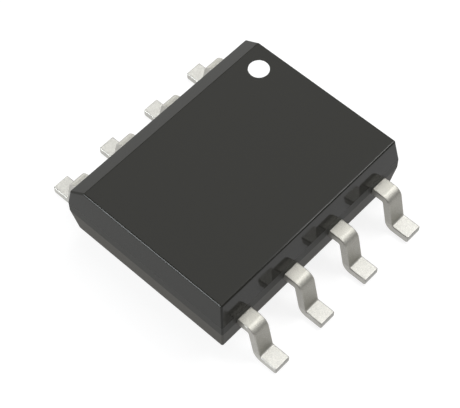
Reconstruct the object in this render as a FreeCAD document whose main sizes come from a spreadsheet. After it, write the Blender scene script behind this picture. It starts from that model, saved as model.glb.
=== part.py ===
import FreeCAD, Part
import os
import Sketcher

# Eight-lead small-outline chip package with gull-wing leads. Lengths are in millimetres.
# X runs across the package, from leads 1 to 4 on the -X side to leads 5 to 8 on the +X side.
# Y runs along the rows, with leads 1 and 8 at the +Y end. Z is up.
# The origin is the middle of the footprint, in the plane that the feet stand on.

# Every size that can be chosen by itself. Lengths in millimetres, angles in degrees.
SIZES = {
    # Moulded body: a straight band round the middle, drafted above and below it
    "body_length": 4.99,
    "body_width": 3.99,
    "body_top": 1.73,
    "standoff": 0.19,
    "band_bottom": 0.86,
    "band_top": 1.12,
    "draft_angle": 8.0,
    "edge_radius": 0.04,
    "bevel_width": 0.33,
    "bevel_depth": 0.25,
    "ejector_diameter": 0.80,
    "ejector_depth": 0.03,
    "ejector_spacing": 2.60,
    # Ink dot beside lead 1
    "dot_diameter": 0.43,
    "dot_depth": 0.02,
    "dot_from_side": 0.86,
    "dot_from_end": 0.57,
    # Lead outside the moulding
    "lead_pitch": 1.27,
    "lead_span": 5.90,
    "lead_width": 0.38,
    "lead_thickness": 0.18,
    "shoulder_top": 0.925,
    "foot_length": 0.40,
    "riser_lean": 11.4,
    "bend_radius": 0.035,
    # Finger of a lead inside the moulding
    "finger_width": 0.68,
    "finger_cover": 0.16,
    "finger_gap": 0.20,
    "anchor_hole_diameter": 0.20,
    "anchor_hole_inset": 0.17,
    "corner_finger_width": 0.58,
    "corner_finger_reach": 0.38,
    "corner_finger_slant": 0.28,
    # Paddle that carries the chip, with a tie bar at each end
    "paddle_width": 2.30,
    "paddle_length": 2.70,
    "paddle_downset": 0.12,
    "tie_bar_width": 0.30,
    "tie_bar_step_start": 0.06,
    "tie_bar_slope": 45.0,
    "tie_bar_cover": 0.10,
    # Silicon chip and the adhesive under it
    "die_width": 1.50,
    "die_length": 2.00,
    "die_thickness": 0.25,
    "attach_thickness": 0.03,
    "attach_margin": 0.06,
    # Bond wires
    "wire_diameter": 0.05,
    "wire_bend_radius": 0.10,
    "loop_height": 0.17,
    "ball_diameter": 0.10,
    "ball_height": 0.02,
    "stitch_length": 0.09,
    "stitch_crush": 0.012,
    "bond_pad_inset": 0.12,
    "bond_pad_pitch": 0.55,
    "landing_inset": 0.12,
}

LEADS_PER_SIDE = 4
LEAD_COUNT = 2 * LEADS_PER_SIDE

# The points of a sketch's line or circle, by the numbers that constraints know them by
START, END, CENTRE = 1, 2, 3

# Places that follow from those sizes, written once and used by every piece that meets there
HALF_WIDTH = "(sizes.body_width / 2)"
HALF_LENGTH = "(sizes.body_length / 2)"
SHEET_TOP = "sizes.shoulder_top"
SHEET_BOTTOM = "(sizes.shoulder_top - sizes.lead_thickness)"
PADDLE_TOP = "(sizes.shoulder_top - sizes.paddle_downset)"
DIE_BOTTOM = f"({PADDLE_TOP} + sizes.attach_thickness)"
DIE_TOP = f"({DIE_BOTTOM} + sizes.die_thickness)"
PADDLE_SIDE = "(sizes.paddle_width / 2)"
PADDLE_END = "(sizes.paddle_length / 2)"
FINGER_ROOT = f"({HALF_WIDTH} - sizes.finger_cover)"
FINGER_TIP = f"({PADDLE_SIDE} + sizes.finger_gap)"
CORNER_TIP = f"({FINGER_TIP} - sizes.corner_finger_reach)"


def make_sheet(doc):
    sheet = doc.addObject("Spreadsheet::Sheet", "sizes")
    for row, (name, value) in enumerate(SIZES.items(), start=1):
        sheet.set(f"A{row}", name)
        sheet.set(f"B{row}", str(value))
        sheet.setAlias(f"B{row}", name)
    doc.recompute()
    return sheet


def new_sketch(body, name, role, height=None):
    """A sketch on one of the body's own origin planes, raised along its normal by an expression."""
    planes = {feature.Role: feature for feature in body.Origin.OriginFeatures}
    sketch = body.newObject("Sketcher::SketchObject", name)
    sketch.AttachmentSupport = [(planes[role], "")]
    sketch.MapMode = "FlatFace"
    if height is not None:
        sketch.setExpression("AttachmentOffset.Base.z", height)
    return sketch


def bind(sketch, constraint, expression):
    """Add a dimension whose value is the expression's."""
    index = sketch.addConstraint(constraint)
    sketch.setExpression(f"Constraints[{index}]", expression)


def draw_corners(sketch, corners, closed=True):
    """Straight lines from corner to corner. A corner is (x, y) or (x, y, bend radius)."""
    places = [tuple(float(sketch.evalExpression(value)) for value in corner) for corner in corners]
    points = [FreeCAD.Vector(place[0], place[1], 0) for place in places]
    count = len(corners)
    lines = count if closed else count - 1
    for i in range(lines):
        sketch.addGeometry(Part.LineSegment(points[i], points[(i + 1) % count]), False)
    for i in range(count if closed else count - 2):
        sketch.addConstraint(Sketcher.Constraint("Coincident", i, END, (i + 1) % count, START))
    for i, corner in enumerate(corners):
        line, end = (i, START) if i < lines else (i - 1, END)
        bind(sketch, Sketcher.Constraint("DistanceX", line, end, points[i].x), corner[0])
        bind(sketch, Sketcher.Constraint("DistanceY", line, end, points[i].y), corner[1])
    for i, corner in enumerate(corners):
        if len(corner) == 3:
            before = (i - 1) % count
            near_before = (points[before] + points[i]) / 2
            near_after = (points[i] + points[(i + 1) % count]) / 2
            arc = sketch.GeometryCount
            radius = places[i][2]
            sketch.fillet(before, i, near_before, near_after, radius, True, True)
            bind(sketch, Sketcher.Constraint("Radius", arc, radius), corner[2])


def draw_circle(sketch, x, y, diameter):
    place = FreeCAD.Vector(*[float(sketch.evalExpression(value)) for value in (x, y)], 0)
    radius = float(sketch.evalExpression(diameter)) / 2
    circle = sketch.addGeometry(Part.Circle(place, FreeCAD.Vector(0, 0, 1), radius), False)
    bind(sketch, Sketcher.Constraint("DistanceX", circle, CENTRE, place.x), x)
    bind(sketch, Sketcher.Constraint("DistanceY", circle, CENTRE, place.y), y)
    bind(sketch, Sketcher.Constraint("Diameter", circle, 2 * radius), diameter)


def draw_octagon(sketch, across):
    """Eight equal sides about the origin, measured across the flats."""
    sides = 8
    half_turn = 180 / sides
    reach = f"{across} / 2 / cos({half_turn})"
    angles = [half_turn * (2 * step + 1) for step in range(sides)]
    draw_corners(sketch, [(f"{reach} * cos({angle})", f"{reach} * sin({angle})") for angle in angles])


def pad(body, name, sketch, length, midplane=False, downwards=False, taper=None):
    feature = body.newObject("PartDesign::Pad", name)
    feature.Profile = sketch
    feature.setExpression("Length", length)
    feature.Midplane = midplane
    feature.Reversed = downwards
    if taper is not None:
        feature.setExpression("TaperAngle", taper)
    body.Tip = feature
    return feature


def pocket(body, name, sketch, length, midplane=False, upwards=False):
    feature = body.newObject("PartDesign::Pocket", name)
    feature.Profile = sketch
    feature.setExpression("Length", length)
    feature.Midplane = midplane
    feature.Reversed = upwards
    body.Tip = feature
    return feature


def new_body(doc, name):
    body = doc.addObject("PartDesign::Body", name)
    body.Label = name
    return body


# Moulding compound

def parting_plan(body, name, height):
    """The moulding's widest outline, which the band and both drafted halves start from."""
    sketch = new_sketch(body, name, "XY_Plane", height)
    draw_corners(sketch, [
        (f"-{HALF_WIDTH}", f"-{HALF_LENGTH}"),
        (HALF_WIDTH, f"-{HALF_LENGTH}"),
        (HALF_WIDTH, HALF_LENGTH),
        (f"-{HALF_WIDTH}", HALF_LENGTH),
    ])
    return sketch


def moulding_outside(doc):
    """The moulded block before anything is set into it: band, two drafted halves and the bevel."""
    body = new_body(doc, "moulding_outside")
    band = parting_plan(body, "band_plan", "sizes.band_bottom")
    pad(body, "band", band, "sizes.band_top - sizes.band_bottom")
    upper = parting_plan(body, "upper_plan", "sizes.band_top")
    pad(body, "upper_half", upper, "sizes.body_top - sizes.band_top", taper="-sizes.draft_angle")
    lower = parting_plan(body, "lower_plan", "sizes.band_bottom")
    pad(body, "lower_half", lower, "sizes.band_bottom - sizes.standoff",
        downwards=True, taper="-sizes.draft_angle")

    # The bevel along the top edge over leads 1 to 4 leaves the top face and ends on the drafted side
    bevel_foot = "(sizes.body_top - sizes.bevel_depth)"
    upper_inset = "(sizes.body_top - sizes.band_top) * tan(sizes.draft_angle)"
    foot_inset = f"({bevel_foot} - sizes.band_top) * tan(sizes.draft_angle)"
    top_x = f"(-{HALF_WIDTH} + {upper_inset} + sizes.bevel_width)"
    above = "(sizes.body_top + sizes.bevel_depth)"
    bevel = new_sketch(body, "bevel_profile", "XZ_Plane")
    draw_corners(bevel, [
        (top_x, "sizes.body_top"),
        (f"-{HALF_WIDTH} + {foot_inset}", bevel_foot),
        (f"-{HALF_WIDTH}", bevel_foot),
        (f"-{HALF_WIDTH}", above),
        (top_x, above),
    ])
    block = pocket(body, "bevel_cut", bevel, "sizes.body_length", midplane=True)
    doc.recompute()

    # Every edge is rounded except the parting lines above and below the band
    rounding = body.newObject("PartDesign::Fillet", "edge_rounding")
    rounding.Base = (block, moulding_edges(block.Shape, doc.sizes))
    rounding.setExpression("Radius", "sizes.edge_radius")
    body.Tip = rounding

    # Shallow round marks that the mould's ejector pins leave on the underside
    marks = new_sketch(body, "ejector_plan", "XY_Plane", "sizes.standoff")
    draw_circle(marks, "0", "sizes.ejector_spacing / 2", "sizes.ejector_diameter")
    draw_circle(marks, "0", "-sizes.ejector_spacing / 2", "sizes.ejector_diameter")
    pocket(body, "ejector_marks", marks, "sizes.ejector_depth", upwards=True)
    return body


def moulding_edges(shape, sheet):
    """Names of the edges that don't lie in the plane of a parting line."""
    names = []
    for number, edge in enumerate(shape.Edges, start=1):
        heights = [vertex.Z for vertex in edge.Vertexes]
        parting = any(max(abs(z - line) for z in heights) < 1e-6
                      for line in (sheet.band_bottom, sheet.band_top))
        if not parting:
            names.append(f"Edge{number}")
    return names


# Leads

def lead_name(number):
    return f"lead_{number}"


def lead_row(number):
    """+1 for a lead on the +X side, -1 for a lead on the -X side."""
    return 1 if number > LEADS_PER_SIDE else -1


def lead_y(number):
    """The lead's place along the row, as an expression. Numbers run down one side and up the other."""
    place = (number - 1) % LEADS_PER_SIDE
    steps_from_middle = (LEADS_PER_SIDE - 1) / 2 - place
    return f"({-lead_row(number) * steps_from_middle} * sizes.lead_pitch)"


def is_corner(number):
    return (number - 1) % LEADS_PER_SIDE in (0, LEADS_PER_SIDE - 1)


def inboard(number):
    """The side of the lead's own centre line on which the middle of the package lies."""
    return 1 if (number - 1) % LEADS_PER_SIDE < LEADS_PER_SIDE / 2 else -1


def lead(doc, number):
    """One strip of the lead frame: a finger in the moulding, then shoulder, riser and foot.

    It is drawn for the +X side about its own centre line and turned half round for the other side.
    """
    body = new_body(doc, lead_name(number))

    # The strip's two faces run parallel through both bends, so each inner corner lies behind the
    # outer one by the thickness times the tangent of half the turn
    behind = "sizes.lead_thickness * tan((90 - sizes.riser_lean) / 2)"
    toe = "(sizes.lead_span / 2)"
    foot_corner = f"({toe} - sizes.foot_length)"
    shoulder_corner = f"({foot_corner} - {SHEET_BOTTOM} * tan(sizes.riser_lean))"
    tight = "sizes.bend_radius"
    wide = "sizes.bend_radius + sizes.lead_thickness"
    profile = new_sketch(body, "side_profile", "XZ_Plane")
    draw_corners(profile, [
        (FINGER_ROOT, SHEET_TOP),
        (shoulder_corner, SHEET_TOP, wide),
        (foot_corner, "sizes.lead_thickness", tight),
        (toe, "sizes.lead_thickness"),
        (toe, "0"),
        (f"{foot_corner} - {behind}", "0", wide),
        (f"{shoulder_corner} - {behind}", SHEET_BOTTOM, tight),
        (FINGER_ROOT, SHEET_BOTTOM),
    ])
    pad(body, "strip", profile, "sizes.lead_width", midplane=True)

    finger = new_sketch(body, "finger_plan", "XY_Plane", SHEET_BOTTOM)
    half = "(sizes.finger_width / 2)"
    side = inboard(number)
    if is_corner(number):
        # It reaches past the paddle's end, with its outboard corner cut off at 45 degrees
        inner_edge = f"{side} * {half}"
        outer_edge = f"{side} * ({half} - sizes.corner_finger_width)"
        draw_corners(finger, [
            (CORNER_TIP, inner_edge),
            (FINGER_ROOT, inner_edge),
            (FINGER_ROOT, outer_edge),
            (f"{CORNER_TIP} + sizes.corner_finger_slant", outer_edge),
            (CORNER_TIP, f"{outer_edge} + {side} * sizes.corner_finger_slant"),
        ])
    else:
        draw_corners(finger, [
            (FINGER_TIP, f"-{half}"),
            (FINGER_ROOT, f"-{half}"),
            (FINGER_ROOT, half),
            (FINGER_TIP, half),
        ])
    pad(body, "finger", finger, "sizes.lead_thickness")

    anchor = new_sketch(body, "anchor_plan", "XY_Plane", SHEET_TOP)
    draw_circle(anchor, f"{FINGER_ROOT} - sizes.anchor_hole_inset", "0", "sizes.anchor_hole_diameter")
    pocket(body, "anchor_hole", anchor, "sizes.lead_thickness")

    body.setExpression("Placement.Base.y", lead_y(number))
    if lead_row(number) < 0:
        body.Placement.Rotation = FreeCAD.Rotation(FreeCAD.Vector(0, 0, 1), 180)
    return body


# Paddle, chip and adhesive

def die_paddle(doc):
    body = new_body(doc, "die_paddle")
    plate = new_sketch(body, "plate_plan", "XY_Plane", PADDLE_TOP)
    draw_corners(plate, [
        (f"-{PADDLE_SIDE}", f"-{PADDLE_END}"),
        (PADDLE_SIDE, f"-{PADDLE_END}"),
        (PADDLE_SIDE, PADDLE_END),
        (f"-{PADDLE_SIDE}", PADDLE_END),
    ])
    pad(body, "plate", plate, "sizes.lead_thickness", downwards=True)

    # Each tie bar slopes up from the paddle to the plane of the leads
    behind = "sizes.lead_thickness * tan(sizes.tie_bar_slope / 2)"
    bar_end = f"({HALF_LENGTH} - sizes.tie_bar_cover)"
    step_low = f"({PADDLE_END} + sizes.tie_bar_step_start)"
    step_high = f"({step_low} + sizes.paddle_downset / tan(sizes.tie_bar_slope))"
    paddle_bottom = f"({PADDLE_TOP} - sizes.lead_thickness)"
    bars = new_sketch(body, "tie_bar_profile", "YZ_Plane")
    draw_corners(bars, [
        (f"-{bar_end}", SHEET_TOP),
        (f"-{step_high}", SHEET_TOP),
        (f"-{step_low}", PADDLE_TOP),
        (step_low, PADDLE_TOP),
        (step_high, SHEET_TOP),
        (bar_end, SHEET_TOP),
        (bar_end, SHEET_BOTTOM),
        (f"{step_high} + {behind}", SHEET_BOTTOM),
        (f"{step_low} + {behind}", paddle_bottom),
        (f"-{step_low} - {behind}", paddle_bottom),
        (f"-{step_high} - {behind}", SHEET_BOTTOM),
        (f"-{bar_end}", SHEET_BOTTOM),
    ])
    pad(body, "tie_bars", bars, "sizes.tie_bar_width", midplane=True)
    return body


def centred_block(doc, name, width, length, height, bottom):
    block = doc.addObject("Part::Box", name)
    block.Label = name
    block.setExpression("Length", width)
    block.setExpression("Width", length)
    block.setExpression("Height", height)
    block.setExpression("Placement.Base.x", f"-({width}) / 2")
    block.setExpression("Placement.Base.y", f"-({length}) / 2")
    block.setExpression("Placement.Base.z", bottom)
    return block


def die_attach(doc):
    return centred_block(doc, "die_attach", "sizes.die_width + 2 * sizes.attach_margin",
                         "sizes.die_length + 2 * sizes.attach_margin",
                         "sizes.attach_thickness", PADDLE_TOP)


def die(doc):
    return centred_block(doc, "die", "sizes.die_width", "sizes.die_length",
                         "sizes.die_thickness", DIE_BOTTOM)


# Bond wires

def bond_wire(doc, number):
    """A ball on the chip, a loop, and a stitch crushed flat on the finger of its lead.

    It is drawn in its own upright plane, with the ball at the origin, then turned to face its lead.
    """
    row = lead_row(number)
    start_x = f"({row} * (sizes.die_width / 2 - sizes.bond_pad_inset))"
    start_y = f"({lead_y(number)} / sizes.lead_pitch * sizes.bond_pad_pitch)"
    if is_corner(number):
        end_x = f"({row} * ({CORNER_TIP} + sizes.landing_inset))"
        middle = "(sizes.finger_width - sizes.corner_finger_width) / 2"
        end_y = f"({lead_y(number)} + {row * inboard(number)} * {middle})"
    else:
        end_x = f"({row} * ({FINGER_TIP} + sizes.landing_inset))"
        end_y = lead_y(number)
    reach = f"sqrt(({end_x} - {start_x}) ^ 2 + ({end_y} - {start_y}) ^ 2)"
    landing = f"({SHEET_TOP} + sizes.wire_diameter / 2 - sizes.stitch_crush)"
    loop_top = f"({DIE_TOP} + sizes.loop_height)"

    body = new_body(doc, f"bond_wire_{number}")
    ball = new_sketch(body, "ball_plan", "XY_Plane", DIE_TOP)
    draw_octagon(ball, "sizes.ball_diameter")
    pad(body, "ball", ball, "sizes.ball_height")

    route = new_sketch(body, "route", "XZ_Plane")
    draw_corners(route, [
        ("0", f"{DIE_TOP} + sizes.ball_height / 2"),
        ("0", loop_top, "sizes.wire_bend_radius"),
        (f"{reach} - sizes.stitch_length", landing, "sizes.wire_bend_radius"),
        (reach, landing),
    ], closed=False)
    section = new_sketch(body, "section", "XY_Plane", f"{DIE_TOP} + sizes.ball_height / 2")
    draw_octagon(section, "sizes.wire_diameter")
    doc.recompute()
    pipe = body.newObject("PartDesign::AdditivePipe", "loop")
    pipe.Profile = section
    pipe.Spine = (route, [])
    body.Tip = pipe

    below = f"({SHEET_TOP} - sizes.wire_diameter)"
    flat = new_sketch(body, "stitch_profile", "XZ_Plane")
    draw_corners(flat, [
        (f"{reach} - 2 * sizes.stitch_length", SHEET_TOP),
        (f"{reach} - 2 * sizes.stitch_length", below),
        (f"{reach} + sizes.wire_diameter", below),
        (f"{reach} + sizes.wire_diameter", SHEET_TOP),
    ])
    pocket(body, "stitch", flat, "2 * sizes.wire_diameter", midplane=True)

    body.Placement.Rotation = FreeCAD.Rotation(FreeCAD.Vector(0, 0, 1), 0)
    body.setExpression("Placement.Base.x", start_x)
    body.setExpression("Placement.Base.y", start_y)
    body.setExpression("Placement.Rotation.Angle", f"atan2({end_y} - {start_y}; {end_x} - {start_x})")
    return body


# Ink dot and the finished moulding

def pin_1_dot(doc):
    dot = doc.addObject("Part::Cylinder", "pin_1_dot")
    dot.Label = "pin_1_dot"
    dot.setExpression("Radius", "sizes.dot_diameter / 2")
    dot.setExpression("Height", "sizes.dot_depth")
    dot.setExpression("Placement.Base.x", f"-{HALF_WIDTH} + sizes.dot_from_side")
    dot.setExpression("Placement.Base.y", f"{HALF_LENGTH} - sizes.dot_from_end")
    dot.setExpression("Placement.Base.z", "sizes.body_top - sizes.dot_depth")
    return dot


def moulded_body(doc, outside, set_in):
    """The compound flows round everything that is set in it, so their union is cut out of it."""
    core = doc.addObject("Part::MultiFuse", "set_in")
    core.Shapes = set_in
    body = doc.addObject("Part::Cut", "body")
    body.Label = "body"
    body.Base = outside
    body.Tool = core
    return body


def export(doc, pieces):
    for item in doc.Objects:
        if "Invalid" in item.State or "Error" in item.State:
            raise RuntimeError(f"{item.Label} failed: {item.State}")
    for piece in pieces:
        if piece.Shape.isNull() or not piece.Shape.isValid() or len(piece.Shape.Solids) != 1:
            raise RuntimeError(f"{piece.Label} is not one valid solid")
    os.makedirs("parts", exist_ok=True)
    for piece in pieces:
        piece.Shape.exportStep(os.path.join("parts", f"{piece.Label}.step"))
        print(f"{piece.Label}: {piece.Shape.Volume:.5f} mm3")


def main():
    doc = FreeCAD.newDocument("small_outline_package")
    make_sheet(doc)
    numbers = range(1, LEAD_COUNT + 1)
    leads = [lead(doc, number) for number in numbers]
    wires = [bond_wire(doc, number) for number in numbers]
    inner = [die_paddle(doc), die_attach(doc), die(doc)]
    dot = pin_1_dot(doc)
    outside = moulding_outside(doc)
    set_in = leads + inner + wires + [dot]
    body = moulded_body(doc, outside, set_in)
    doc.recompute()
    export(doc, [body] + set_in)


main()
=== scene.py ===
import math

import bmesh
import bpy
from mathutils import Matrix, Vector
from mathutils.geometry import tessellate_polygon


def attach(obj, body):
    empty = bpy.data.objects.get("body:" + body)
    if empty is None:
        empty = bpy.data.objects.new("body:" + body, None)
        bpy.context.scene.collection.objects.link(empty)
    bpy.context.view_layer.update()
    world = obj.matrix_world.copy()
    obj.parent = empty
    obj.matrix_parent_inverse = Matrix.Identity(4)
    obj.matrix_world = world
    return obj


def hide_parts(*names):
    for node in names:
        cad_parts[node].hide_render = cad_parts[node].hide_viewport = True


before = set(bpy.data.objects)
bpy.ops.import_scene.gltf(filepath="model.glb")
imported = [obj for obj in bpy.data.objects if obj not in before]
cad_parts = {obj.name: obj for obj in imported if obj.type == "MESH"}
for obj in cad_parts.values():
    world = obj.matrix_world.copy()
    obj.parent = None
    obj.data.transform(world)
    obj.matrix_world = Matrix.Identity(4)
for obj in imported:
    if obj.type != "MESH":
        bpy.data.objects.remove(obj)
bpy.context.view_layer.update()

MM = 0.001
scene = bpy.context.scene
scene.view_settings.view_transform = "Standard"

# Sizes of the CAD model, in millimetres
BODY_WIDTH, BODY_LENGTH, BODY_TOP = 3.99, 4.99, 1.73
STANDOFF, BAND_BOTTOM, BAND_TOP = 0.19, 0.86, 1.12
DRAFT = math.radians(8)
EDGE_RADIUS = 0.04
BEVEL_WIDTH, BEVEL_DEPTH = 0.33, 0.25
EJECTOR_DIAMETER, EJECTOR_DEPTH, EJECTOR_SPACING = 0.80, 0.03, 2.60
DOT_DIAMETER, DOT_DEPTH, DOT_FROM_SIDE, DOT_FROM_END = 0.43, 0.02, 0.86, 0.57
PITCH = 1.27
LEAD = {
    "span": 5.90, "width": 0.38, "thickness": 0.18, "shoulder_top": 0.925,
    "foot": 0.40, "lean": math.radians(11.4), "bend": 0.035,
}
FINGER = {
    "width": 0.68, "cover": 0.16, "gap": 0.20, "hole": 0.20, "hole_inset": 0.17,
    "corner_width": 0.58, "corner_reach": 0.38, "slant": 0.28,
}
PADDLE_WIDTH = 2.30

# Rounding of the leads and layout of the finish and its painted shade, in millimetres, only on the
# dressed model
LONG_EDGE_TOP, LONG_EDGE_BOTTOM, LEAST_RADIUS = 0.024, 0.026, 0.004
TOE_TOP, TOE_BOTTOM = 0.022, 0.055
PARTING_BLEND = 0.01
SMOOTH_EDGE, SIDE_SKIN = 0.9 * LONG_EDGE_TOP, 0.0005
# Where the painted shade on the toe's end begins and where it is full
END_SHADE_FROM, END_SHADE_FULL = 0.012, 0.004

# Facets
CIRCLE_STEPS, HOLE_STEPS, EDGE_STEPS = 72, 40, 8
SECTION_STEPS, BEND_STEPS, STRAIGHT_STEPS, FOOT_STEPS = 5, 14, 5, 4
TOE_ANGLES = (0, 15, 30, 45, 53, 61, 69, 76, 83, 90)
BODY_SMOOTH_ANGLE, LEAD_SMOOTH_ANGLE = 30, 32
SAME_HEIGHT, HORIZONTAL = 1e-6, 0.99


# Helpers for meshes

def new_object(name, bm, material=None):
    mesh = bpy.data.meshes.new(name)
    bm.normal_update()
    bm.to_mesh(mesh)
    bm.free()
    obj = bpy.data.objects.new(name, mesh)
    scene.collection.objects.link(obj)
    if material:
        mesh.materials.append(material)
    return obj


def same_height(z, height):
    return abs(z - height) < SAME_HEIGHT


def circle(x, y, diameter, steps):
    """Points (x, y), anticlockwise."""
    r = diameter / 2
    angles = [2 * math.pi * i / steps for i in range(steps)]
    return [(x + r * math.cos(a), y + r * math.sin(a)) for a in angles]


def rounded_rectangle(width, height, r_top, r_bottom):
    """Points (across, up) round the section, anticlockwise, starting low on the right."""
    points = []
    corners = [
        (width / 2, -height / 2, r_bottom, -90), (width / 2, height / 2, r_top, 0),
        (-width / 2, height / 2, r_top, 90), (-width / 2, -height / 2, r_bottom, 180),
    ]
    for x, y, r, start in corners:
        cx = x - math.copysign(r, x)
        cy = y - math.copysign(r, y)
        for i in range(SECTION_STEPS + 1):
            a = math.radians(start + 90 * i / SECTION_STEPS)
            points.append((cx + r * math.cos(a), cy + r * math.sin(a)))
    return points


def triangles(outline, *holes):
    """Triples of indices into the points of the outline and the holes, laid end to end."""
    return tessellate_polygon([[Vector((x, y, 0)) for x, y in ring] for ring in (outline, *holes)])


def wall(bm, first, second):
    """Quads between two rings that have as many points."""
    for i in range(len(first)):
        j = (i + 1) % len(first)
        bm.faces.new((first[i], first[j], second[j], second[i]))


def one_zone(z):
    return 0


def weigh_normals(obj, angle, zone=one_zone):
    """Rounded parts shade smoothly and the flats between them stay flat.

    Each corner takes the mean normal of the faces that meet there within the angle and in the
    same zone of height. The square of a face's area is its weight, so a flat keeps its own normal.
    """
    mesh = obj.data
    limit = math.cos(math.radians(angle))
    around = [[] for _ in mesh.vertices]
    for face in mesh.polygons:
        face.use_smooth = True
        for v in face.vertices:
            around[v].append((face.normal.copy(), face.area, zone(face.center.z)))
    normals = []
    for face in mesh.polygons:
        side = zone(face.center.z)
        for v in face.vertices:
            largest = max(area for _, area, _ in around[v])
            total = Vector((0, 0, 0))
            for normal, area, other in around[v]:
                if other == side and normal.dot(face.normal) > limit:
                    total += normal * (area / largest) ** 2
            normals.append(total.normalized() if total.length > 0 else face.normal.copy())
    mesh.normals_split_custom_set(normals)


# The moulding

def mould_zone(z):
    """The lower half, the band and the upper half of the moulding meet at sharp lines."""
    return (z > BAND_BOTTOM * MM) + (z > BAND_TOP * MM)


def sink_circles(bm, z, up, circles, depth):
    """Shallow round recesses in the horizontal face at height z. A circle is (x, y, diameter)."""
    level = [f for f in bm.faces
             if same_height(f.calc_center_median().z, z) and abs(f.normal.z) > HORIZONTAL]
    face = max(level, key=lambda f: f.calc_area())
    rings = [list(face.verts)]
    bm.faces.remove(face)
    for x, y, diameter in circles:
        points = circle(x, y, diameter, CIRCLE_STEPS)
        rim = [bm.verts.new((a, b, z)) for a, b in points]
        floor = [bm.verts.new((a, b, z - up * depth)) for a, b in points]
        wall(bm, rim, floor)
        bm.faces.new(floor)
        rings.append(rim)
    flat = [v for ring in rings for v in ring]
    for tri in triangles(*([(v.co.x, v.co.y) for v in ring] for ring in rings)):
        bm.faces.new([flat[i] for i in tri])


def sharp_body():
    """The moulding with sharp edges, and on each edge the weight of its rounding."""
    hw, hl = BODY_WIDTH / 2, BODY_LENGTH / 2
    lean = math.tan(DRAFT)
    low = (BAND_BOTTOM - STANDOFF) * lean
    top = (BODY_TOP - BAND_TOP) * lean
    heel_z = BODY_TOP - BEVEL_DEPTH
    heel_inset = (heel_z - BAND_TOP) * lean
    bevel_x = -hw + top + BEVEL_WIDTH
    bm = bmesh.new()

    def ring(inset, z):
        return [bm.verts.new((x * (hw - inset), y * (hl - inset), z))
                for x, y in ((-1, -1), (1, -1), (1, 1), (-1, 1))]

    base, band_low, band_high = ring(low, STANDOFF), ring(0, BAND_BOTTOM), ring(0, BAND_TOP)
    upper = [bm.verts.new(c) for c in (
        (bevel_x, -hl + top, BODY_TOP), (hw - top, -hl + top, BODY_TOP),
        (hw - top, hl - top, BODY_TOP), (bevel_x, hl - top, BODY_TOP))]
    heel = [bm.verts.new((-hw + heel_inset, y * (hl - heel_inset), heel_z)) for y in (-1, 1)]
    bm.faces.new(base[::-1])
    wall(bm, base, band_low)
    wall(bm, band_low, band_high)
    a, b, c, d = band_high
    bm.faces.new((a, b, upper[1], upper[0], heel[0]))
    bm.faces.new((b, c, upper[2], upper[1]))
    bm.faces.new((c, d, heel[1], upper[3], upper[2]))
    bm.faces.new((d, a, heel[0], heel[1]))
    bm.faces.new((heel[0], upper[0], upper[3], heel[1]))
    bm.faces.new(upper)
    bm.normal_update()

    # The parting lines stay sharp. The weight gives every other edge the same radius.
    weight = bm.edges.layers.float.new("bevel_weight_edge")
    for edge in bm.edges:
        if not any(all(same_height(v.co.z, line) for v in edge.verts)
                   for line in (BAND_BOTTOM, BAND_TOP)):
            edge[weight] = math.tan(edge.calc_face_angle() / 2)
    return bm


def build_body(material):
    obj = new_object("body_dressed", sharp_body())
    bevel = obj.modifiers.new("bevel", "BEVEL")
    bevel.limit_method = "WEIGHT"
    bevel.offset_type = "OFFSET"
    bevel.width = EDGE_RADIUS
    bevel.segments = EDGE_STEPS
    bevel.profile = 0.5
    bevel.miter_outer = "MITER_SHARP"
    bpy.context.view_layer.update()
    made = bpy.data.meshes.new_from_object(
        obj.evaluated_get(bpy.context.evaluated_depsgraph_get()))
    bpy.data.objects.remove(obj)

    bm = bmesh.new()
    bm.from_mesh(made)
    bm.normal_update()
    dot = (-BODY_WIDTH / 2 + DOT_FROM_SIDE, BODY_LENGTH / 2 - DOT_FROM_END, DOT_DIAMETER)
    marks = [(0, side * EJECTOR_SPACING / 2, EJECTOR_DIAMETER) for side in (1, -1)]
    sink_circles(bm, BODY_TOP, 1, [dot], DOT_DEPTH)
    sink_circles(bm, STANDOFF, -1, marks, EJECTOR_DEPTH)
    bmesh.ops.recalc_face_normals(bm, faces=bm.faces[:])
    bmesh.ops.scale(bm, vec=(MM, MM, MM), verts=bm.verts[:])
    obj = new_object("body_dressed", bm, material)
    weigh_normals(obj, BODY_SMOOTH_ANGLE, mould_zone)
    return obj


# The leads

def lead_path(root):
    """Stations (x, z, heading) along the strip's middle plane, with heading below the horizon."""
    t = LEAD["thickness"]
    toe = LEAD["span"] / 2
    turn = math.pi / 2 - LEAD["lean"]
    foot_x = toe - LEAD["foot"] - t / 2 * math.tan(turn / 2)
    top_z = LEAD["shoulder_top"] - t / 2
    foot_z = t / 2
    shoulder_x = foot_x - (top_z - foot_z) * math.tan(LEAD["lean"])
    radius = LEAD["bend"] + t / 2
    tangent = radius * math.tan(turn / 2)
    down_x, level_x = shoulder_x - tangent, foot_x + tangent
    stations = [(root, top_z, 0.0)]

    def straight(x1, z1, heading, steps):
        """Stations between the last one and (x1, z1)."""
        x0, z0, _ = stations[-1]
        for i in range(1, steps):
            f = i / steps
            stations.append((x0 + (x1 - x0) * f, z0 + (z1 - z0) * f, heading))

    straight(down_x, top_z, 0.0, STRAIGHT_STEPS)
    for i in range(BEND_STEPS + 1):
        a = turn * i / BEND_STEPS
        stations.append((down_x + radius * math.sin(a), top_z - radius * (1 - math.cos(a)), a))
    straight(level_x - radius * math.sin(turn), foot_z + radius * (1 - math.cos(turn)), turn,
             STRAIGHT_STEPS)
    for i in range(BEND_STEPS + 1):
        a = turn * (1 - i / BEND_STEPS)
        stations.append((level_x - radius * math.sin(a), foot_z + radius * (1 - math.cos(a)), a))
    straight(toe, foot_z, 0.0, FOOT_STEPS)
    return stations, toe, foot_z


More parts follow.
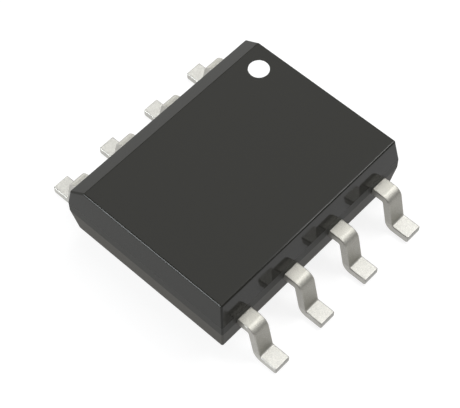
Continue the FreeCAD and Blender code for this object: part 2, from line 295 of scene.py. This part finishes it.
def add_strip(bm, root):
    """The bent strip from the root to the toe. The root stays open; its section is returned."""
    w, t = LEAD["width"], LEAD["thickness"]
    stations, toe, foot_z = lead_path(root)

    def section(x, z, heading, above=0.0, below=0.0):
        """A section that is cut by above on top and on both sides, and by below underneath."""
        points = rounded_rectangle(w - 2 * above, t - above - below,
                                   max(LONG_EDGE_TOP - above, LEAST_RADIUS),
                                   max(LONG_EDGE_BOTTOM - above, LEAST_RADIUS))
        nx, nz = math.sin(heading), math.cos(heading)
        lift = (below - above) / 2
        return [bm.verts.new((x + nx * (up + lift), across, z + nz * (up + lift)))
                for across, up in points]

    sections = [section(*station) for station in stations]
    # The toe is rounded more below than above
    for angle in TOE_ANGLES:
        left = TOE_BOTTOM * (1 - math.sin(math.radians(angle)))
        drop = [r - math.sqrt(r * r - max(r - left, 0) ** 2) for r in (TOE_TOP, TOE_BOTTOM)]
        sections.append(section(toe - left, foot_z, 0.0, *drop))
    for a, b in zip(sections, sections[1:]):
        for i in range(len(a)):
            j = (i + 1) % len(a)
            bm.faces.new((a[i], b[i], b[j], a[j]))
    bm.faces.new(sections[-1])
    return sections[0]


def finger_plan(root, corner, inboard):
    """Outline of the finger inside the moulding, anticlockwise."""
    half = FINGER["width"] / 2
    tip = PADDLE_WIDTH / 2 + FINGER["gap"]
    if not corner:
        return [(tip, -half), (root, -half), (root, half), (tip, half)]
    tip -= FINGER["corner_reach"]
    inner = inboard * half
    outer = inboard * (half - FINGER["corner_width"])
    slant = FINGER["slant"]
    plan = [(tip, inner), (root, inner), (root, outer), (tip + slant, outer),
            (tip, outer + inboard * slant)]
    area = sum(a[0] * b[1] - b[0] * a[1] for a, b in zip(plan, plan[1:] + plan[:1]))
    return plan if area >= 0 else plan[::-1]


def add_finger(bm, root, plan):
    """The finger with its anchor hole. The root stays open; its four corners are returned."""
    top_z = LEAD["shoulder_top"]
    hole = circle(root - FINGER["hole_inset"], 0, FINGER["hole"], HOLE_STEPS)
    flat = plan + hole
    upper = [bm.verts.new((x, y, top_z)) for x, y in flat]
    lower = [bm.verts.new((x, y, top_z - LEAD["thickness"])) for x, y in flat]
    for tri in triangles(plan, hole):
        a, b, c = (Vector((*flat[i], 0)) for i in tri)
        if (b - a).cross(c - a).z < 0:
            tri = tri[::-1]
        bm.faces.new([upper[i] for i in tri])
        bm.faces.new([lower[i] for i in reversed(tri)])
    n = len(plan)
    for i in range(n):
        j = (i + 1) % n
        if flat[i][0] == root and flat[j][0] == root:
            continue
        bm.faces.new((lower[i], lower[j], upper[j], upper[i]))
    for i in range(n, len(flat)):
        j = i + 1 if i + 1 < len(flat) else n
        bm.faces.new((lower[j], lower[i], upper[i], upper[j]))
    left, right = sorted((i for i in range(n) if flat[i][0] == root), key=lambda i: flat[i][1])
    return [lower[left], lower[right], upper[right], upper[left]]


def build_lead(number, material):
    row = 1 if number > 4 else -1
    place = (number - 1) % 4
    y_centre = -row * (1.5 - place) * PITCH
    root = BODY_WIDTH / 2 - FINGER["cover"]
    bm = bmesh.new()
    strip = add_strip(bm, root)
    corner, inboard = place in (0, 3), 1 if place < 2 else -1
    finger = add_finger(bm, root, finger_plan(root, corner, inboard))

    # The face that joins the finger's end to the strip's first section
    both = finger + strip
    for tri in triangles(*([(v.co.y, v.co.z) for v in ring] for ring in (finger, strip))):
        bm.faces.new([both[i] for i in tri])
    bmesh.ops.recalc_face_normals(bm, faces=bm.faces[:])

    turn = Matrix.Identity(4) if row > 0 else Matrix.Rotation(math.pi, 4, "Z")
    bm.transform(Matrix.Scale(MM, 4) @ Matrix.Translation((0, y_centre, 0)) @ turn)
    obj = new_object(f"lead_{number}_dressed", bm, material)
    weigh_normals(obj, LEAD_SMOOTH_ANGLE)
    return obj


# Helpers for node trees. Where one takes a value, it is a plain value or another node's output.

def feed(tree, socket, value):
    if isinstance(value, bpy.types.NodeSocket):
        tree.links.new(value, socket)
    else:
        socket.default_value = value


def new_material(name):
    material = bpy.data.materials.new(name)
    material.use_nodes = True
    tree = material.node_tree
    return material, tree, tree.nodes["Principled BSDF"]


def object_point(tree):
    return tree.nodes.new("ShaderNodeTexCoord").outputs["Object"]


def separate(tree, vector):
    node = tree.nodes.new("ShaderNodeSeparateXYZ")
    tree.links.new(vector, node.inputs[0])
    return node.outputs


def noise(tree, point, scale, detail=3.0):
    node = tree.nodes.new("ShaderNodeTexNoise")
    node.inputs["Scale"].default_value = scale
    node.inputs["Detail"].default_value = detail
    node.inputs["Roughness"].default_value = 0.6
    tree.links.new(point, node.inputs["Vector"])
    return node.outputs["Fac"]


def maths(tree, operation, a, b=None):
    node = tree.nodes.new("ShaderNodeMath")
    node.operation = operation
    feed(tree, node.inputs[0], a)
    if b is not None:
        feed(tree, node.inputs[1], b)
    return node.outputs[0]


def vector_maths(tree, operation, vector, socket, value):
    node = tree.nodes.new("ShaderNodeVectorMath")
    node.operation = operation
    feed(tree, node.inputs[0], vector)
    feed(tree, node.inputs[socket], value)
    return node.outputs[0]


def map_range(tree, value, source, target):
    node = tree.nodes.new("ShaderNodeMapRange")
    feed(tree, node.inputs["Value"], value)
    node.inputs["From Min"].default_value, node.inputs["From Max"].default_value = source
    node.inputs["To Min"].default_value, node.inputs["To Max"].default_value = target
    return node.outputs["Result"]


def mix(tree, factor, a, b, data_type="RGBA"):
    node = tree.nodes.new("ShaderNodeMix")
    node.data_type = data_type
    for name, value in (("Factor", factor), ("A", a), ("B", b)):
        feed(tree, node.inputs[name], value)
    return node.outputs["Result"]


def colour_ramp(tree, value, stops, interpolation="LINEAR"):
    """The stops are (position, colour), from low to high."""
    node = tree.nodes.new("ShaderNodeValToRGB")
    node.color_ramp.interpolation = interpolation
    elements = node.color_ramp.elements
    for index, (position, colour) in ((0, stops[0]), (1, stops[-1])):
        elements[index].position = position
        elements[index].color = colour
    for position, colour in stops[1:-1]:
        elements.new(position).color = colour
    feed(tree, node.inputs["Fac"], value)
    return node.outputs["Color"]


def add_bump(tree, shader, height, strength, distance):
    node = tree.nodes.new("ShaderNodeBump")
    feed(tree, node.inputs["Strength"], strength)
    node.inputs["Distance"].default_value = distance
    feed(tree, node.inputs["Height"], height)
    tree.links.new(node.outputs["Normal"], shader.inputs["Normal"])


def grey(value):
    return (value, value, value, 1)


# Materials

UNIT = (0, 1)
BLACK, WHITE = grey(0), grey(1)


def moulding_material():
    material, tree, shader = new_material("moulding_compound_dressed")
    point = object_point(tree)
    z = separate(tree, point)["Z"]
    shader.inputs["IOR"].default_value = 1.23

    # The lower half is a little browner
    lower, upper = (0.0320, 0.0285, 0.0205, 1), (0.0217, 0.0215, 0.0181, 1)
    around = ((BAND_BOTTOM - PARTING_BLEND) * MM, (BAND_BOTTOM + PARTING_BLEND) * MM)
    half = map_range(tree, z, around, UNIT)
    feed(tree, shader.inputs["Base Color"], mix(tree, half, lower, upper))

    # The upper half is polished, and the band and the lower half are dull
    roughness = map_range(tree, noise(tree, point, 9000), UNIT, (0.04, 0.065))
    for line, extra in ((BAND_TOP, 0.43), (BAND_BOTTOM, 0.02)):
        step = map_range(tree, z, ((line + PARTING_BLEND) * MM, line * MM), (0, extra))
        roughness = maths(tree, "ADD", roughness, step)
    feed(tree, shader.inputs["Roughness"], roughness)
    add_bump(tree, shader, noise(tree, point, 30000, 4.0), 0.3, 0.5e-6)
    return material


def tin_material():
    material, tree, shader = new_material("tinned_lead_dressed")
    point = object_point(tree)
    x, y, z = separate(tree, point)
    shader.inputs["Metallic"].default_value = 0.8
    grain = noise(tree, point, 80000, 1.0)
    tone = mix(tree, grain, (0.30, 0.296, 0.276, 1), (0.82, 0.811, 0.758, 1))

    # How far aside of its lead's middle plane a point lies, in pitches
    part = maths(tree, "FLOORED_MODULO", maths(tree, "DIVIDE", y, PITCH * MM), 1.0)
    aside = maths(tree, "ABSOLUTE", maths(tree, "SUBTRACT", part, 0.5))
    rounding_from = (LEAD["width"] / 2 - SMOOTH_EDGE) / PITCH
    side_from = (LEAD["width"] / 2 - SIDE_SKIN) / PITCH

    # Painted shade: the riser is much darker than the foot, and the shoulder a little darker.
    # Heights are parts of the shoulder's.
    foot, riser_low, riser_high, shoulder = 0.20, 0.26, 0.92, 0.96
    # The colour of the riser's painted shade
    riser_shade = (0.64, 0.63, 0.61, 1)
    painted_shade = colour_ramp(tree, maths(tree, "DIVIDE", z, LEAD["shoulder_top"] * MM), (
        (foot, WHITE), (riser_low, riser_shade), (riser_high, riser_shade),
        (shoulder, (0.94, 0.932, 0.905, 1))))

    # Painted shade: the sides and the end of the toe are darker too
    side_shade = colour_ramp(tree, aside, (
        (0.0, BLACK), (rounding_from, grey(0.6)), (side_from, WHITE)), "CONSTANT")
    painted_shade = mix(tree, side_shade, painted_shade, (0.70, 0.69, 0.68, 1))
    # Painted shade on the end of the toe
    toe = LEAD["span"] / 2
    end = ((toe - END_SHADE_FROM) * MM, (toe - END_SHADE_FULL) * MM)
    end_shade = map_range(tree, maths(tree, "ABSOLUTE", x), end, (1.0, 0.7))
    colour = vector_maths(tree, "MULTIPLY", tone, 1, painted_shade)
    feed(tree, shader.inputs["Base Color"], vector_maths(tree, "SCALE", colour, "Scale", end_shade))

    # The rounded long edges are smoother
    edge = colour_ramp(tree, aside, (
        (0.0, BLACK), (rounding_from, WHITE), (side_from, BLACK)), "CONSTANT")
    roughness = map_range(tree, grain, UNIT, (0.43, 0.57))
    feed(tree, shader.inputs["Roughness"], mix(tree, edge, roughness, 0.38, "FLOAT"))
    add_bump(tree, shader, grain, map_range(tree, edge, UNIT, (0.8, 0.1)), 4e-6)
    return material


def plain_material(name, colour, roughness, metallic, scale, depth):
    material, tree, shader = new_material(name)
    grain = noise(tree, object_point(tree), scale)
    shader.inputs["Base Color"].default_value = (*colour, 1)
    shader.inputs["Metallic"].default_value = metallic
    spread = (roughness * 0.8, roughness * 1.2)
    feed(tree, shader.inputs["Roughness"], map_range(tree, grain, UNIT, spread))
    add_bump(tree, shader, grain, 0.5, depth)
    return material


def dress(name, material):
    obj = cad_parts[name]
    obj.data.materials.clear()
    obj.data.materials.append(material)


moulding = moulding_material()
tin = tin_material()
block = build_body(moulding)
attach(block, "root")
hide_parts("body")
SMALL = (
    # pieces, material, colour, roughness, metallic, scale of the grain, depth of its relief
    (["pin_1_dot"], "white_ink_dressed", (0.95, 0.95, 0.94), 0.5, 0.0, 20000, 1e-6),
    (["die_paddle"], "copper_dressed", (0.72, 0.45, 0.33), 0.3, 1.0, 12000, 1e-6),
    (["die_attach"], "epoxy_dressed", (0.55, 0.55, 0.53), 0.5, 0.3, 25000, 2e-6),
    (["die"], "silicon_dressed", (0.10, 0.10, 0.13), 0.12, 0.5, 8000, 2e-7),
    ([f"bond_wire_{n}" for n in range(1, 9)],
     "gold_dressed", (0.86, 0.66, 0.28), 0.22, 1.0, 30000, 5e-7),
)
for names, *look in SMALL:
    plain = plain_material(*look)
    for name in names:
        dress(name, plain)
for n in range(1, 9):
    piece = build_lead(n, tin)
    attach(piece, "root")
    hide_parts(f"lead_{n}")


# Floor, lights and camera, in metres

UP = (0, 0, 1)
FLOOR_RADIUS, FLOOR_STEPS = 1.5, 96
PHOTO_WIDTH, FOCAL_LENGTH = 460, 1466.97    # in pixels of the photo
SENSOR_WIDTH = 36.0


def floor_plane():
    """Pale paper, with a glow that only the camera and mirror images see."""
    bm = bmesh.new()
    bmesh.ops.create_circle(bm, cap_ends=True, radius=FLOOR_RADIUS, segments=FLOOR_STEPS)
    floor, tree, shader = new_material("floor_paper")
    shader.inputs["Base Color"].default_value = grey(0.22)
    shader.inputs["Roughness"].default_value = 0.9
    shader.inputs["Specular IOR Level"].default_value = 0.1
    ray = tree.nodes.new("ShaderNodeLightPath").outputs
    seen = maths(tree, "MAXIMUM", ray["Is Camera Ray"], ray["Is Glossy Ray"])
    seen = maths(tree, "MAXIMUM", seen, ray["Is Transmission Ray"])
    shader.inputs["Emission Color"].default_value = WHITE
    feed(tree, shader.inputs["Emission Strength"], maths(tree, "MULTIPLY", seen, 0.86))
    obj = new_object("floor", bm, floor)


def turn_to(obj, right, back):
    """Turns a lamp or camera by the directions of its right and its back."""
    obj.rotation_mode = "QUATERNION"
    axes = Matrix((right, back.cross(right), back)).transposed()
    obj.rotation_quaternion = axes.to_quaternion()


def softbox(name, place, width, height, radiance, colour=(1, 1, 1), back=None, across=(1, 0, 0)):
    """A rectangular lamp whose width runs across. It faces the object, or else away from back."""
    data = bpy.data.lights.new(name, "AREA")
    data.shape = "RECTANGLE"
    data.size, data.size_y = width, height
    data.energy = radiance * math.pi * width * height
    data.color = colour
    obj = bpy.data.objects.new(name, data)
    obj.location = place
    back = Vector(back or place).normalized()
    side = Vector(across)
    side = (side - back * side.dot(back)).normalized()
    turn_to(obj, side, back)
    scene.collection.objects.link(obj)


def world_light():
    """A bright horizon under a darker sky."""
    world = bpy.data.worlds.new("studio")
    scene.world = world
    world.use_nodes = True
    tree = world.node_tree
    background = tree.nodes["Background"]
    z = separate(tree, tree.nodes.new("ShaderNodeTexCoord").outputs["Generated"])["Z"]
    sky = colour_ramp(tree, z, ((0.03, grey(0.9)), (0.12, grey(0.25))))
    feed(tree, background.inputs["Color"], sky)
    background.inputs["Strength"].default_value = 1.0


def add_camera():
    """The photo's camera, as solved from points of the photo."""
    data = bpy.data.cameras.new("camera")
    data.sensor_width = SENSOR_WIDTH
    data.lens = FOCAL_LENGTH / PHOTO_WIDTH * SENSOR_WIDTH
    data.clip_start, data.clip_end = 0.001, 10.0
    obj = bpy.data.objects.new("camera", data)
    scene.collection.objects.link(obj)
    obj.location = Vector((10.399, -11.127, 24.520)) * MM
    forward = Vector((-0.36561, 0.38622, -0.84685)).normalized()
    right = Vector((0.73371, 0.67943, -0.00690)).normalized()
    turn_to(obj, right, -forward)
    scene.camera = obj


floor_plane()
world_light()
softbox("key", (-0.0495, 0.052, 0.110), width=0.027, height=0.085, radiance=2.0, back=UP)
softbox("crown", (-0.0135, 0.052, 0.110), width=0.045, height=0.085, radiance=4.4, back=UP)
softbox("window", (-0.0573, -0.1287, 0.0513), width=0.024, height=0.11, radiance=17.0,
        colour=(0.92, 0.96, 1.0))
softbox("rim", (0.0363, 0.0682, 0.1286), width=0.08, height=0.023, radiance=13.5)
softbox("card", (-0.139, 0.040, 0.030), width=0.14, height=0.052, radiance=1.8,
        across=(0, 1, 0))
add_camera()

bpy.context.view_layer.update()
